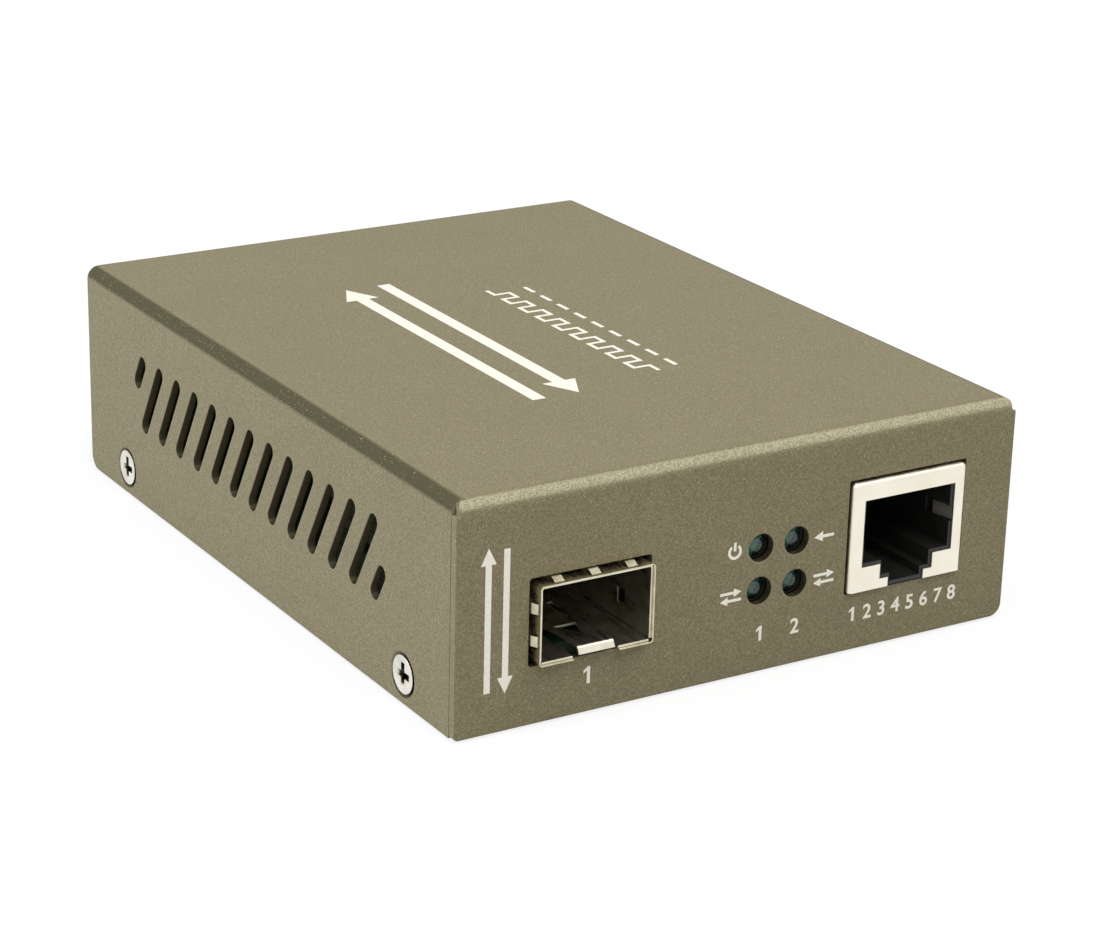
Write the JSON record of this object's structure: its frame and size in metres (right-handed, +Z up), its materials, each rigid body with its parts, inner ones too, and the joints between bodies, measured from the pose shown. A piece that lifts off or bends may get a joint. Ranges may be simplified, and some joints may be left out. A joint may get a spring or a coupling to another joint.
{
  "type": "fibre media converter",
  "caption": "Compact metal-cased fibre media converter with a module bay, a copper network port, indicator lamps, a power inlet and a mode slide switch.",
  "frame": {"origin": "centre of the case's footprint, on the face that it stands on", "axes": "+X to the right seen from the front, +Y from the port side to the rear, +Z up"},
  "size_m": [0.073, 0.0969, 0.027],
  "materials": {
    "cover_paint": "fine textured olive grey powder coat",
    "chassis_paint": "fine textured olive grey powder coat",
    "screw_nickel": "bright nickel plate",
    "board": "green solder mask",
    "zinc_steel": "zinc plated",
    "cage_metal": "satin tin plate",
    "shield_metal": "bright satin nickel plate",
    "black_plastic": "moulded, satin",
    "chip_black": "moulded epoxy",
    "gold_contact": "thin gold plate",
    "tin_lead": "tinned",
    "lamp_green": "tinted clear epoxy, unlit",
    "can_metal": "drawn can",
    "fuse_yellow": "coated",
    "ceramic": "fired ceramic with tinned ends"
  },
  "bodies": {
    "case": {"top_cover": "cover_paint", "base_chassis": "chassis_paint", "cover_screws": "screw_nickel", "circuit_board": "board", "board_standoffs": "zinc_steel", "board_screws": "zinc_steel", "sfp_cage_shell": "cage_metal", "sfp_cage_base": "cage_metal", "sfp_spring_fingers": "cage_metal", "sfp_connector_housing": "black_plastic", "sfp_connector_contacts": "gold_contact", "rj45_shield": "shield_metal", "rj45_housing": "black_plastic", "rj45_contacts": "gold_contact", "led_holder": "black_plastic", "led_power": "lamp_green", "led_fibre_link": "lamp_green", "led_copper_receive": "lamp_green", "led_copper_link": "lamp_green", "led_leads": "tin_lead", "dc_jack_housing": "black_plastic", "dc_jack_pin": "tin_lead", "dc_jack_sleeve_contact": "tin_lead", "dc_jack_switch_contact": "tin_lead", "mode_switch_frame": "zinc_steel", "mode_switch_base": "chip_black", "mode_switch_terminals": "tin_lead", "converter_chip": "chip_black", "converter_chip_leads": "tin_lead", "magnetics_module": "chip_black", "magnetics_leads": "tin_lead", "memory_chip": "chip_black", "memory_chip_leads": "tin_lead", "voltage_regulator": "chip_black", "regulator_leads": "tin_lead", "crystal": "can_metal", "power_inductor": "chip_black", "filter_capacitors": "can_metal", "input_fuse": "fuse_yellow", "input_diode": "chip_black", "chip_capacitors": "ceramic"},
    "mode_switch_slider": {"mode_switch_knob": "black_plastic"}
  },
  "joints": [
    {"name": "mode_switch_slide", "type": "slide", "parent": "case", "child": "mode_switch_slider", "axis": [1, 0, 0], "range_m": [0, 0.002]}
  ]
}
